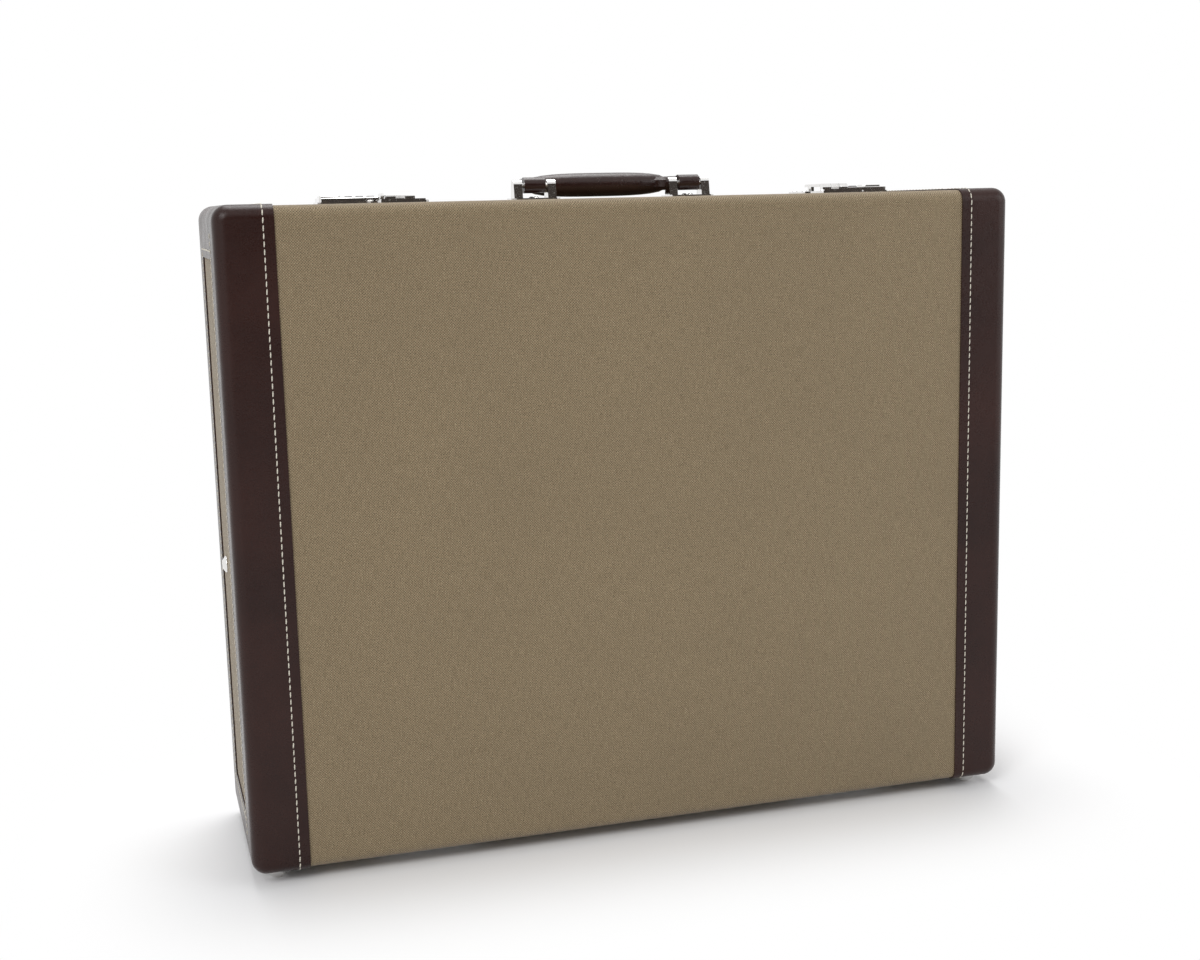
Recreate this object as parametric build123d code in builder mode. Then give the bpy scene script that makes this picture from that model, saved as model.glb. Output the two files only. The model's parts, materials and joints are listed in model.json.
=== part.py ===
from build123d import *
import math
import os

# Microphone case, standing on its hinge side with the handle up.
# X runs along the width, Y from the lid (front) to the base (back), Z up from the floor.
# All lengths are millimetres.

# Wooden carcass
case_width = 459.0
case_height = 362.0
case_depth = 126.0
lid_depth = 30.0
floor_gap = 8.5
wall = 4.0
corner_radius = 7.0
edge_radius = 6.0
edge_cut = 3.8
rim_gap = 0.5
overcut = 1.0
pin_sides = 12

# Covering
tweed_thick = 0.7
leather_thick = 1.5
band_width = 30.0
rear_wrap = 30.0
corner_tab = 27.0
lining_thick = 0.8

# Aluminium rim frames
rim_web = 1.0
flange_thick = 1.5
flange_depth = 9.0
tongue_reach = 6.0
tongue_play = 0.4

# Foam inserts
foam_end_room = 9.5
foam_side_play = 0.5
foam_top_room = 5.0
foam_rim_room = 3.0
lid_foam_thick = 16.0
pocket_depth = 62.0
mic_pocket = (78.0, 236.0)
mount_pocket = (142.0, 142.0)
supply_pocket = (142.0, 78.0)
cable_pocket = (136.0, 236.0)
pocket_gap = 16.0

# Feet
foot_radius = 7.0
foot_flange = 2.5
foot_flat = 3.6
foot_waist = 6.0
foot_inset = 13.3
foot_from_face = 17.3

# Case hinges
hinge_from_end = 99.5
hinge_length = 60.0
knuckle_radius = 2.5
hinge_pin_radius = 1.2
leaf_thick = 1.2
leaf_depth = 16.0
hinge_play = 0.15
knuckle_room = 0.2
knuckle_length = 20.0

# Lid stays
stay_back = 39.3
knee_room = 28.6
stay_lid_forward = 14.0
link_half_width = 5.0
link_thick = 1.5
link_gap = 0.4
stay_pin_radius = 2.0
stay_head_radius = 4.5
stay_head_thick = 0.8
stay_dome = 2.5
stay_plate_thick = 1.5
stay_plate_length = 32.0
stay_plate_half = 6.0
pivot_play = 0.1
knee_play = 0.3
face_play = 0.1

# Combination hasp locks
hasp_from_end = 100.5
lock_setback = 8.3
lock_depth = 22.0
lock_inner = 14.0
lock_outer = 42.6
lock_plate_thick = 1.2
cover_start = 8.6
cover_margin = 0.8
cover_height = 2.2
cover_skin = 0.7
cover_corner = 1.2
cover_bevel = 0.3
plate_corner = 1.6
dial_first = 12.0
dial_pitch = 6.15
dial_count = 3
dial_radius = 5.8
dial_width = 3.8
dial_sides = 10
dial_notch = 0.5
dial_drop = 1.4
dial_setback = 12.0
dial_play = 0.3
shaft_radius = 1.2
box_wall = 0.9
box_depth = 8.6
mortise_play = 0.3
slide_centre = 35.15
slide_width = 11.5
slide_length = 10.0
slide_height = 1.1
slide_corner = 1.0
slide_bevel = 0.35
slide_travel = 2.8
slide_play = 0.2
stem_size = 5.0
bolt_setback = 3.2
bolt_width = 2.2
bolt_thick = 1.2
bolt_lift = 0.15

# Hasps on the lid
hasp_plate_width = 27.7
hasp_plate_front = 17.5
hasp_plate_back = 1.2
hasp_plate_thick = 1.2
hasp_bead = 2.0
bead_inset = 2.0
hasp_axis_forward = 5.0
hasp_axis_height = 3.4
hasp_knuckle_radius = 2.1
hasp_pin_radius = 0.9
hasp_width = 16.0
hasp_thick = 1.6
hasp_lift = 0.4
hasp_corner = 3.0
hasp_bevel = 0.5
hasp_overlap = 13.0
hasp_tab = 1.6
cheek_thick = 1.8
cheek_setback = 1.0
cheek_length = 5.0
cheek_lift = 0.3
eye_play = 0.25
rivet_radius = 1.6
rivet_height = 0.8
rivet_shank = 0.9
crown_share = 0.6
lock_rivet_margin = 4.0
hasp_rivet_side = 10.5
hasp_rivet_back = 12.5
bracket_rivet_step = 5.0

# Carrying handle
handle_x = 46.85
handle_setback = 21.3
handle_axis_height = 8.2
bracket_half = 14.5
bracket_depth = 15.0
bracket_thick = 1.0
bracket_corner = 2.5
post_gap = 14.9
post_width = 5.0
post_radius = 3.2
post_foot = 9.0
handle_pin_radius = 1.5
end_width = 12.3
end_radius = 4.5
end_play = 0.15
neck_step = 0.5
neck_bevel = 2.0
handle_reach = 28.0
handle_bend = 14.0
grip_end_radius = 5.2
grip_radius = 7.0
grip_nose = 1.5
grip_full_half = 15.0
core_radius = 2.0

# Derived planes and lines
front = -case_depth / 2
back = case_depth / 2
parting = front + lid_depth
lid_rim = parting - rim_gap / 2
base_rim = parting + rim_gap / 2
bottom = floor_gap
top = bottom + case_height
middle = (bottom + top) / 2
side = case_width / 2
side_inside = side - wall
band_edge = side - band_width
deck = top + tweed_thick
underside = bottom - tweed_thick
hinge_z = underside - knuckle_radius
hinge_x = side - hinge_from_end
hasp_x = side - hasp_from_end
LEFT = -1
RIGHT = 1
names = {LEFT: "left", RIGHT: "right"}


def save(part, name):
    """Label one finished piece and write its file."""
    part.label = name
    export_step(part, "parts/" + name + ".step")


def upright(y):
    """A plane facing the front at depth y, with its origin at mid height."""
    return Plane(origin=(0, y, middle), x_dir=(1, 0, 0), z_dir=(0, -1, 0))


def tray(y_rim, y_outer, grow):
    """A solid tray with rounded corners: a covering has a round outer edge, and the wood has it planed."""
    with BuildPart() as body:
        with BuildSketch(upright(y_rim)):
            RectangleRounded(case_width + 2 * grow, case_height + 2 * grow, corner_radius + grow)
        extrude(amount=y_rim - y_outer)
        outer = body.faces().sort_by(Axis.Y)[0 if y_outer < y_rim else -1]
        if grow > 0:
            fillet(outer.edges(), edge_radius + grow)
        if grow == 0:
            chamfer(outer.edges(), edge_cut)
    return body.part


def ring(y_from, y_to, outer_grow, inner_grow):
    """A closed rectangular ring between two offsets of the carcass outline."""
    with BuildPart() as body:
        with BuildSketch(upright(y_to)):
            RectangleRounded(case_width + 2 * outer_grow, case_height + 2 * outer_grow, corner_radius + outer_grow)
            RectangleRounded(
                case_width + 2 * inner_grow,
                case_height + 2 * inner_grow,
                corner_radius + inner_grow,
                mode=Mode.SUBTRACT,
            )
        extrude(amount=y_to - y_from)
    return body.part


def slab(hand, x_in, x_out, y_from, y_to, z_from, z_to):
    """A rectangular solid; hand puts the X range on the left or right half."""
    x_low, x_high = sorted((hand * x_in, hand * x_out))
    with BuildPart() as body:
        with BuildSketch(Plane.XY.offset(z_from)):
            with Locations(((x_low + x_high) / 2, (y_from + y_to) / 2)):
                Rectangle(x_high - x_low, y_to - y_from)
        extrude(amount=z_to - z_from)
    return body.part


def rod(hand, x_in, x_out, y, z, radius):
    """A pin, knuckle or head along X, with enough flats to pass for round."""
    x_low, x_high = sorted((hand * x_in, hand * x_out))
    with BuildPart() as body:
        with BuildSketch(Plane.YZ.offset(x_low)):
            with Locations((y, z)):
                RegularPolygon(radius, pin_sides)
        extrude(amount=x_high - x_low)
    return body.part


def low_head(plane, radius, height):
    """A low rivet head that stands on the plane and narrows to its crown."""
    with BuildPart() as body:
        with BuildSketch(plane):
            RegularPolygon(radius, pin_sides)
        with BuildSketch(plane.offset(height)):
            RegularPolygon(radius * crown_share, pin_sides)
        loft()
    return body.part


def joined(*pieces):
    """One solid made of pieces that touch or overlap."""
    with BuildPart() as body:
        for piece in pieces:
            add(piece)
    return body.part


def carved(piece, *cutters):
    """The piece with every cutter taken away from it."""
    with BuildPart() as body:
        add(piece)
        for cutter in cutters:
            add(cutter, mode=Mode.SUBTRACT)
    return body.part


def kept(piece, zone):
    """The part of the piece that lies inside the zone."""
    with BuildPart() as body:
        add(piece)
        add(zone, mode=Mode.INTERSECT)
    return body.part


# Where the hardware stands
lock_y = parting + lock_setback
dial_y = lock_y + dial_setback
dial_z = deck - dial_drop
bolt_y = lock_y + bolt_setback
handle_y = parting + handle_setback
handle_z = deck + handle_axis_height
hasp_y = parting - hasp_axis_forward
hasp_z = deck + hasp_axis_height
dial_last = dial_first + (dial_count - 1) * dial_pitch
box_in = dial_first - dial_width / 2 - dial_play - box_wall
box_out = dial_last + dial_width / 2 + dial_play + box_wall
box_half = dial_radius + dial_play + box_wall

# Lid stay linkage: four equal lengths, so both links turn as far as the lid
rise = top - wall - knee_room - hinge_z
stay_up = (rise ** 2 - stay_back ** 2 + stay_lid_forward ** 2) / (2 * rise)
hinge_line = (parting, hinge_z)
base_pivot = (parting + stay_back, hinge_z + stay_up)
link_length = math.hypot(stay_back, stay_up)
lid_pivot = (parting - stay_lid_forward, hinge_z + math.sqrt(link_length ** 2 - stay_lid_forward ** 2))
knee = (base_pivot[0] + lid_pivot[0] - hinge_line[0], base_pivot[1] + lid_pivot[1] - hinge_line[1])
stay_space = side_inside - tongue_play - flange_thick
knee_head_out = stay_space - link_gap
base_link_out = knee_head_out - stay_head_thick
base_link_in = base_link_out - link_thick
lid_link_out = base_link_in - link_gap
lid_link_in = lid_link_out - link_thick


def stay_hole(hand, pivot, radius):
    """A bore along X through the end wall region at a pivot."""
    return rod(hand, lid_link_in - overcut, side + stay_dome, pivot[0], pivot[1], radius)


def lock_mortise(hand):
    """The opening in the top wall that the dial box drops through."""
    return slab(
        hand,
        hasp_x + box_in - mortise_play,
        hasp_x + box_out + mortise_play,
        dial_y - box_half - mortise_play,
        dial_y + box_half + mortise_play,
        deck - box_depth - mortise_play,
        deck + mortise_play,
    )


def rivet_shank_at(x, y, low, high):
    """The straight part of a rivet between two heights, which is also its bore."""
    with BuildPart() as shank:
        with BuildSketch(Plane.XY.offset(low)):
            with Locations((x, y)):
                RegularPolygon(rivet_shank, pin_sides)
        extrude(amount=high - low)
    return shank.part


def rivet(x, y, z):
    """A low-headed rivet on height z, with its shank through the plate down to the deck."""
    head = low_head(Plane(origin=(x, y, z), x_dir=(1, 0, 0), z_dir=(0, 0, 1)), rivet_radius, rivet_height)
    return joined(head, rivet_shank_at(x, y, deck, z))


# Rivet positions as (x offset from the lock, hasp or bracket centre, y)
lock_rivets_at = [
    (-(hasp_width / 2 + lock_inner) / 2, lock_y + lock_rivet_margin),
    (-(hasp_width / 2 + lock_inner) / 2, lock_y + lock_depth - lock_rivet_margin),
    (0.0, lock_y + lock_depth - lock_rivet_margin),
]
hasp_rivets_at = [(-hasp_rivet_side, parting - hasp_rivet_back), (hasp_rivet_side, parting - hasp_rivet_back)]
bracket_rivets_at = [(0.0, handle_y - bracket_rivet_step), (0.0, handle_y + bracket_rivet_step)]
lock_rivet_top = deck + lock_plate_thick
hasp_rivet_top = deck + hasp_plate_thick
bracket_rivet_top = deck + bracket_thick


def rivet_bores(hand, spots, centre_x, z):
    """The bores that one plate has for its rivets."""
    return [rivet_shank_at(hand * (centre_x + offset_x), y, deck - overcut, z) for offset_x, y in spots]


mortises = [lock_mortise(LEFT), lock_mortise(RIGHT)]
base_stay_bores = [stay_hole(LEFT, base_pivot, stay_pin_radius), stay_hole(RIGHT, base_pivot, stay_pin_radius)]


def make_shells():
    """The two plywood trays."""
    base_outer = tray(base_rim + rim_web, back, 0)
    base_inner = tray(base_rim + rim_web, back - wall, -wall)
    save(carved(base_outer, base_inner, *mortises, *base_stay_bores), "base_shell")
    lid_outer = tray(lid_rim - rim_web, front, 0)
    lid_inner = tray(lid_rim - rim_web, front + wall, -wall)
    save(carved(lid_outer, lid_inner), "lid_shell")


def make_covering():
    """Tweed panels and leather end bands, each a thin skin over the trays."""
    high = case_height + floor_gap * 4
    low = -floor_gap
    window_low = bottom + corner_tab
    window_high = top - corner_tab
    rear_edge = back - rear_wrap
    base_bare = tray(base_rim, back, 0)
    lid_bare = tray(lid_rim, front, 0)
    base_leather = carved(tray(base_rim, back + leather_thick, leather_thick), base_bare)
    lid_leather = carved(tray(lid_rim, front - leather_thick, leather_thick), lid_bare)
    base_tweed = carved(tray(base_rim, back + tweed_thick, tweed_thick), base_bare)
    lid_tweed = carved(tray(lid_rim, front - tweed_thick, tweed_thick), lid_bare)
    centre_zone = slab(RIGHT, -band_edge, band_edge, front * 2, back * 2, low, high)
    windows = []
    for hand in (LEFT, RIGHT):
        end_zone = slab(hand, band_edge, side * 2, front * 2, back * 2, low, high)
        window = slab(hand, side - edge_radius, side * 2, base_rim, rear_edge, window_low, window_high)
        save(carved(kept(base_leather, end_zone), window), "base_leather_" + names[hand])
        save(kept(lid_leather, end_zone), "lid_leather_" + names[hand])
        windows.append(kept(base_tweed, window))
    base_cloth = joined(kept(base_tweed, centre_zone), *windows)
    save(carved(base_cloth, *mortises, *base_stay_bores), "base_tweed")
    save(kept(lid_tweed, centre_zone), "lid_tweed")


def make_frames():
    """Aluminium rim frames; the base frame's tongue enters the lid on the top and both ends."""
    web = ring(base_rim, base_rim + rim_web, 0, -wall)
    flange_grow = -wall - tongue_play
    flange = ring(base_rim, base_rim + flange_depth, -wall, flange_grow - flange_thick)
    tongue = ring(base_rim - tongue_reach, base_rim + rim_web, flange_grow, flange_grow - flange_thick)
    hinge_side = slab(RIGHT, -side, side, front, base_rim, 0, bottom + wall + corner_radius)
    save(joined(web, flange, carved(tongue, hinge_side)), "base_frame")
    save(ring(lid_rim - rim_web, lid_rim, 0, -wall), "lid_frame")


def make_linings():
    """A thin fabric tray in the base and a fabric panel in the lid."""
    y_rim = base_rim + flange_depth
    outer = tray(y_rim, back - wall, -wall)
    inner = tray(y_rim, back - wall - lining_thick, -wall - lining_thick)
    save(carved(outer, inner, *mortises, *base_stay_bores), "base_lining")
    with BuildPart() as panel:
        with BuildSketch(upright(front + wall + lining_thick)):
            RectangleRounded(
                case_width - 2 * edge_radius - 2 * tweed_thick,
                case_height - 2 * edge_radius - 2 * tweed_thick,
                corner_radius - wall,
            )
        extrude(amount=lining_thick)
    save(panel.part, "lid_lining")


foam_half = side_inside - foam_end_room
foam_low = bottom + wall + tongue_play + flange_thick + foam_side_play
foam_high = top - wall - lining_thick - foam_top_room
foam_front = base_rim + foam_rim_room
foam_back = back - wall - lining_thick
foam_centre = (foam_low + foam_high) / 2


def pocket_layout():
    """Pocket centres and sizes: microphone, power supply over shock mount, and cable."""
    total = mic_pocket[0] + mount_pocket[0] + cable_pocket[0] + 2 * pocket_gap
    mic_x = -total / 2 + mic_pocket[0] / 2
    mount_x = mic_x + mic_pocket[0] / 2 + pocket_gap + mount_pocket[0] / 2
    cable_x = mount_x + mount_pocket[0] / 2 + pocket_gap + cable_pocket[0] / 2
    stack = mount_pocket[1] + pocket_gap + supply_pocket[1]
    mount_z = foam_centre - stack / 2 + mount_pocket[1] / 2
    supply_z = foam_centre + stack / 2 - supply_pocket[1] / 2
    return [
        (mic_x, foam_centre, mic_pocket),
        (mount_x, mount_z, mount_pocket),
        (mount_x, supply_z, supply_pocket),
        (cable_x, foam_centre, cable_pocket),
    ]


def make_foam():
    """The base's cut insert, the flat layer behind it, and the hold-down pad in the lid."""
    insert_back = foam_front + pocket_depth
    with BuildPart() as insert:
        with BuildSketch(Plane(origin=(0, insert_back, foam_centre), x_dir=(1, 0, 0), z_dir=(0, -1, 0))):
            Rectangle(2 * foam_half, foam_high - foam_low)
            for pocket_x, pocket_z, (pocket_w, pocket_h) in pocket_layout():
                with Locations((pocket_x, pocket_z - foam_centre)):
                    Rectangle(pocket_w, pocket_h, mode=Mode.SUBTRACT)
        extrude(amount=pocket_depth)
    save(insert.part, "base_foam")
    with BuildPart() as pad:
        with BuildSketch(Plane(origin=(0, foam_back, foam_centre), x_dir=(1, 0, 0), z_dir=(0, -1, 0))):
            Rectangle(2 * foam_half, foam_high - foam_low)
        extrude(amount=foam_back - insert_back)
    save(pad.part, "base_foam_pad")
    with BuildPart() as lid_foam:
        y_pad = front + wall + lining_thick
        with BuildSketch(Plane(origin=(0, y_pad, foam_centre), x_dir=(1, 0, 0), z_dir=(0, -1, 0))):
            RectangleRounded(2 * foam_half, foam_high - foam_low - 2 * foam_top_room, corner_radius)
        extrude(amount=-lid_foam_thick)
        chamfer(lid_foam.faces().sort_by(Axis.Y)[-1].edges(), lid_foam_thick / 4)
    save(lid_foam.part, "lid_foam")


def foot(x, y):
    """A turned metal foot: a flange under the leather and a low dome that ends flat on the floor."""
    stand = bottom - leather_thick
    dome_top = stand - foot_flange
    with BuildPart() as body:
        with BuildSketch(Plane.XZ):
            with BuildLine():
                Polyline(
                    (0, 0),
                    (foot_flat, 0),
                    (foot_waist, dome_top / 2),
                    (foot_radius, dome_top),
                    (foot_radius, stand),
                    (0, stand),
                    close=True,
                )
            make_face()
        revolve(axis=Axis.Z)
    return Location((x, y, 0)) * body.part


def make_feet():
    """Two feet under the lid and two under the base."""
    foot_x = side - foot_inset
    for name, y in (("lid_feet", front + foot_from_face), ("base_feet", back - foot_from_face)):
        save(Compound([foot(-foot_x, y), foot(foot_x, y)]), name)


def leaf(hand, direction, knuckles):
    """One hinge leaf on its side of the parting line, with its knuckles given as x ranges."""
    x_in = hinge_x - hinge_length / 2
    x_out = hinge_x + hinge_length / 2
    clear = knuckle_radius + knuckle_room
    y_near, y_far = sorted((parting + direction * clear, parting + direction * leaf_depth))
    plate = slab(hand, x_in, x_out, y_near, y_far, underside - leaf_thick, underside)
    pieces = [plate]
    for start, end in knuckles:
        tab_near, tab_far = sorted((parting, parting + direction * (clear + overcut)))
        tab = slab(hand, start, end, tab_near, tab_far, underside - leaf_thick, underside)
        pieces.append(tab)
        pieces.append(rod(hand, start, end, parting, hinge_z, knuckle_radius))
    return joined(*pieces)


def make_hinges():
    """Two three-knuckle hinges under the parting line; the pins are held by the base leaves."""
    start = hinge_x - hinge_length / 2
    end = hinge_x + hinge_length / 2
    lid_start = hinge_x - knuckle_length / 2
    lid_end = hinge_x + knuckle_length / 2
    base_knuckles = [(start, lid_start - hinge_play), (lid_end + hinge_play, end)]
    base_leaves = []
    lid_leaves = []
    pins = []
    for hand in (LEFT, RIGHT):
        pin = rod(hand, start, end, parting, hinge_z, hinge_pin_radius)
        loose = rod(hand, start, end, parting, hinge_z, hinge_pin_radius + hinge_play)
        base_leaves.append(carved(leaf(hand, 1, base_knuckles), pin))
        lid_leaves.append(carved(leaf(hand, -1, [(lid_start, lid_end)]), loose))
        pins.append(pin)
    save(Compound(base_leaves), "base_hinge_leaves")
    save(Compound(lid_leaves), "lid_hinge_leaves")
    save(Compound(pins), "hinge_pins")


def link(hand, x_in, x_out, start, end, start_bore, end_bore):
    """A flat strip with round ends from one pivot to another, bored at both."""
    x_low = min(hand * x_in, hand * x_out)
    mid_y = (start[0] + end[0]) / 2
    mid_z = (start[1] + end[1]) / 2
    slope = math.degrees(math.atan2(end[1] - start[1], end[0] - start[0]))
    with BuildPart() as body:
        with BuildSketch(Plane.YZ.offset(x_low)):
            with Locations(Location((mid_y, mid_z), slope)):
                SlotCenterToCenter(link_length, 2 * link_half_width)
            with Locations(start):
                RegularPolygon(start_bore, pin_sides, mode=Mode.SUBTRACT)
            with Locations(end):
                RegularPolygon(end_bore, pin_sides, mode=Mode.SUBTRACT)
        extrude(amount=x_out - x_in)
    return body.part


def make_stays():
    """Lid stays: a link on the base, a link on the lid, and a knee rivet that joins them."""
    base_pins = []
    lid_pins = []
    bore = stay_pin_radius + pivot_play
    for hand in (LEFT, RIGHT):
        name = names[hand]
        save(
            link(hand, base_link_in, base_link_out, base_pivot, knee, bore, stay_pin_radius),
            "stay_base_link_" + name,
        )
        save(
            link(hand, lid_link_in, lid_link_out, lid_pivot, knee, bore, stay_pin_radius + knee_play),
            "stay_lid_link_" + name,
        )
        knee_in = lid_link_in - face_play
        save(
            joined(
                rod(hand, knee_in, base_link_out, knee[0], knee[1], stay_pin_radius),
                rod(hand, base_link_out, knee_head_out, knee[0], knee[1], stay_head_radius),
                rod(hand, knee_in - stay_head_thick, knee_in, knee[0], knee[1], stay_head_radius),
            ),
            "knee_rivet_" + name,
        )
        y, z = base_pivot
        outside = Plane(origin=(hand * (side + tweed_thick), y, z), x_dir=(0, 1, 0), z_dir=(hand, 0, 0))
        head_out = base_link_in - face_play
        base_pins.append(
            joined(
                low_head(outside, stay_head_radius, stay_dome),
                rod(hand, head_out, side + tweed_thick, y, z, stay_pin_radius),
                rod(hand, base_link_out + face_play, side_inside - lining_thick, y, z, stay_head_radius),
                rod(hand, head_out - stay_head_thick, head_out, y, z, stay_head_radius),
            )
        )
        y, z = lid_pivot
        head_out = lid_link_in - face_play
        plate_in = side_inside - stay_plate_thick
        half_plate = stay_plate_length / 2
        lid_pins.append(
            joined(
                slab(
                    hand, plate_in, side_inside, y - stay_plate_half, y + stay_plate_half, z - half_plate, z + half_plate
                ),
                rod(hand, head_out, plate_in, y, z, stay_pin_radius),
                rod(hand, lid_link_out + face_play, plate_in, y, z, stay_head_radius),
                rod(hand, head_out - stay_head_thick, head_out, y, z, stay_head_radius),
            )
        )
    save(Compound(base_pins), "base_stay_pins")
    save(Compound(lid_pins), "lid_stay_pins")


def make_locks():
    """Lock plates, covers, dial boxes, dials, shafts, slides and bolts of both locks."""
    shafts = []
    rivets = []
    cover_in = hasp_x + cover_start
    cover_out = hasp_x + lock_outer - cover_margin
    plate_top = deck + lock_plate_thick
    cover_top = plate_top + cover_height
    cover_front = lock_y + cover_margin
    cover_back = lock_y + lock_depth - cover_margin
    cavity_top = cover_top - cover_skin
    for hand in (LEFT, RIGHT):
        name = names[hand]
        plate = slab(hand, hasp_x - lock_inner, hasp_x + lock_outer, lock_y, lock_y + lock_depth, deck, plate_top)
        with BuildPart() as plate_cut:
            add(plate)
            chamfer(plate_cut.edges().filter_by(Axis.Z), plate_corner)
        opening = slab(
            hand,
            hasp_x + box_in + box_wall,
            hasp_x + box_out - box_wall,
            dial_y - dial_radius - dial_play,
            dial_y + dial_radius + dial_play,
            deck - overcut,
            plate_top + overcut,
        )
        cheek_far = hasp_width / 2 + slide_play
        cheek_near = hasp_width / 2 - cheek_thick - slide_play
        notch_back = lock_y + cheek_setback + cheek_length + slide_play
        notches = []
        for start, end in ((-cheek_far, -cheek_near), (cheek_near, cheek_far)):
            notches.append(
                slab(
                    hand,
                    hasp_x + start,
                    hasp_x + end,
                    lock_y - overcut,
                    notch_back,
                    deck - overcut,
                    plate_top + overcut,
                )
            )
        bores = rivet_bores(hand, lock_rivets_at, hasp_x, lock_rivet_top)
        save(carved(plate_cut.part, opening, *notches, *bores), "lock_plate_" + name)

        with BuildPart() as cover:
            add(slab(hand, cover_in, cover_out, cover_front, cover_back, plate_top, cover_top))
            chamfer(cover.edges().filter_by(Axis.Z), cover_corner)
            chamfer(cover.faces().sort_by(Axis.Z)[-1].edges(), cover_bevel)
        cuts = [
            slab(
                hand,
                cover_in + cover_skin,
                cover_out - cover_skin,
                cover_front + cover_skin,
                cover_back - cover_skin,
                plate_top - overcut,
                cavity_top,
            ),
            slab(
                hand,
                cover_in - overcut,
                cover_in + cover_skin + overcut,
                bolt_y - bolt_width / 2 - slide_play,
                bolt_y + bolt_width / 2 + slide_play,
                plate_top - overcut,
                plate_top + bolt_lift + bolt_thick + bolt_lift,
            ),
            slab(
                hand,
                hasp_x + slide_centre - stem_size / 2 - slide_travel - slide_play,
                hasp_x + slide_centre + stem_size / 2 + slide_play,
                dial_y - stem_size / 2 - slide_play,
                dial_y + stem_size / 2 + slide_play,
                plate_top,
                cover_top + overcut,
            ),
        ]
        window = math.sqrt(dial_radius ** 2 - (cavity_top - dial_z) ** 2) + dial_play
        for index in range(dial_count):
            x = hasp_x + dial_first + index * dial_pitch
            half = dial_width / 2 + dial_play
            window_top = cover_top + overcut
            cuts.append(slab(hand, x - half, x + half, dial_y - window, dial_y + window, plate_top, window_top))
        save(carved(cover.part, *cuts), "lock_cover_" + name)

        shaft = rod(hand, hasp_x + box_in, hasp_x + box_out, dial_y, dial_z, shaft_radius)
        box = slab(
            hand, hasp_x + box_in, hasp_x + box_out, dial_y - box_half, dial_y + box_half, deck - box_depth, deck
        )
        hollow = slab(
            hand,
            hasp_x + box_in + box_wall,
            hasp_x + box_out - box_wall,
            dial_y - box_half + box_wall,
            dial_y + box_half - box_wall,
            deck - box_depth + box_wall,
            deck + overcut,
        )
        save(carved(box, hollow, shaft), "lock_box_" + name)
        shafts.append(shaft)

        for index in range(dial_count):
            centre = hand * (hasp_x + dial_first + index * dial_pitch)
            with BuildPart() as dial:
                with BuildSketch(Plane.YZ.offset(centre - dial_width / 2)):
                    with Locations((dial_y, dial_z)):
                        RegularPolygon(dial_radius, dial_sides)
                        with PolarLocations(dial_radius, dial_sides):
                            RegularPolygon(dial_notch, 4, mode=Mode.SUBTRACT)
                        RegularPolygon(shaft_radius + pivot_play, pin_sides, mode=Mode.SUBTRACT)
                extrude(amount=dial_width)
            save(dial.part, "dial_" + name + "_" + str(index + 1))

        button_low = cover_top + face_play
        with BuildPart() as button:
            add(
                slab(
                    hand,
                    hasp_x + slide_centre - slide_width / 2,
                    hasp_x + slide_centre + slide_width / 2,
                    dial_y - slide_length / 2,
                    dial_y + slide_length / 2,
                    button_low,
                    button_low + slide_height,
                )
            )
            chamfer(button.edges().filter_by(Axis.Z), slide_corner)
            chamfer(button.faces().sort_by(Axis.Z)[-1].edges(), slide_bevel)
        bolt_low = plate_top + bolt_lift
        bolt_high = bolt_low + bolt_thick
        stem = slab(
            hand,
            hasp_x + slide_centre - stem_size / 2,
            hasp_x + slide_centre + stem_size / 2,
            dial_y - stem_size / 2,
            dial_y + stem_size / 2,
            bolt_high,
            button_low,
        )
        save(joined(button.part, stem), "slide_button_" + name)
        bar = slab(
            hand,
            cover_in + face_play,
            hasp_x + slide_centre + stem_size / 2,
            bolt_y - bolt_width / 2,
            bolt_y + bolt_width / 2,
            bolt_low,
            bolt_high,
        )
        arm = slab(
            hand,
            hasp_x + slide_centre - stem_size / 2,
            hasp_x + slide_centre + stem_size / 2,
            bolt_y,
            dial_y + stem_size / 2,
            bolt_low,
            bolt_high,
        )
        save(joined(bar, arm), "lock_bolt_" + name)
        for offset_x, y in lock_rivets_at:
            rivets.append(rivet(hand * (hasp_x + offset_x), y, lock_rivet_top))
    save(Compound(shafts), "dial_shafts")
    save(Compound(rivets), "lock_rivets")


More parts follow.
